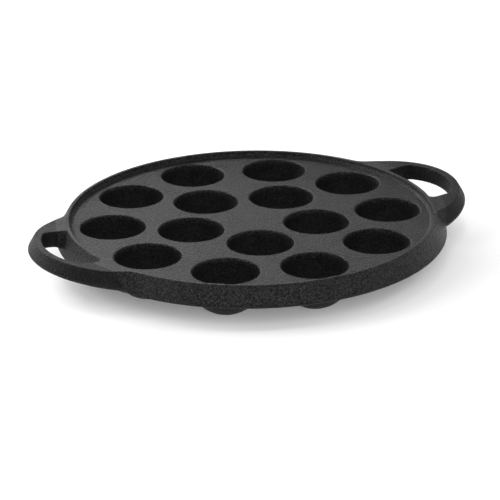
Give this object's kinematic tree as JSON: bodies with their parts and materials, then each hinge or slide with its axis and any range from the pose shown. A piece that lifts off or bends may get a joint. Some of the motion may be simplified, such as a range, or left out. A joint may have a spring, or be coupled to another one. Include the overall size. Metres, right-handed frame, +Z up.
{
  "type": "poffertjes pan",
  "caption": "Round cast pan with a low rim, rings of small half-round wells, a flared skirt and a slotted loop handle on each side.",
  "frame": {"origin": "on the surface the pan stands on, under the pan's axis", "axes": "+X along the line through both handles, +Z up out of the wells"},
  "size_m": [0.3014, 0.2536, 0.0324],
  "materials": {
    "cast_iron": "seasoned black sand casting, fine matt grain outside and satin on the plate and in the wells"
  },
  "bodies": {
    "root": {"poffertjes_pan": "cast_iron"}
  },
  "joints": []
}
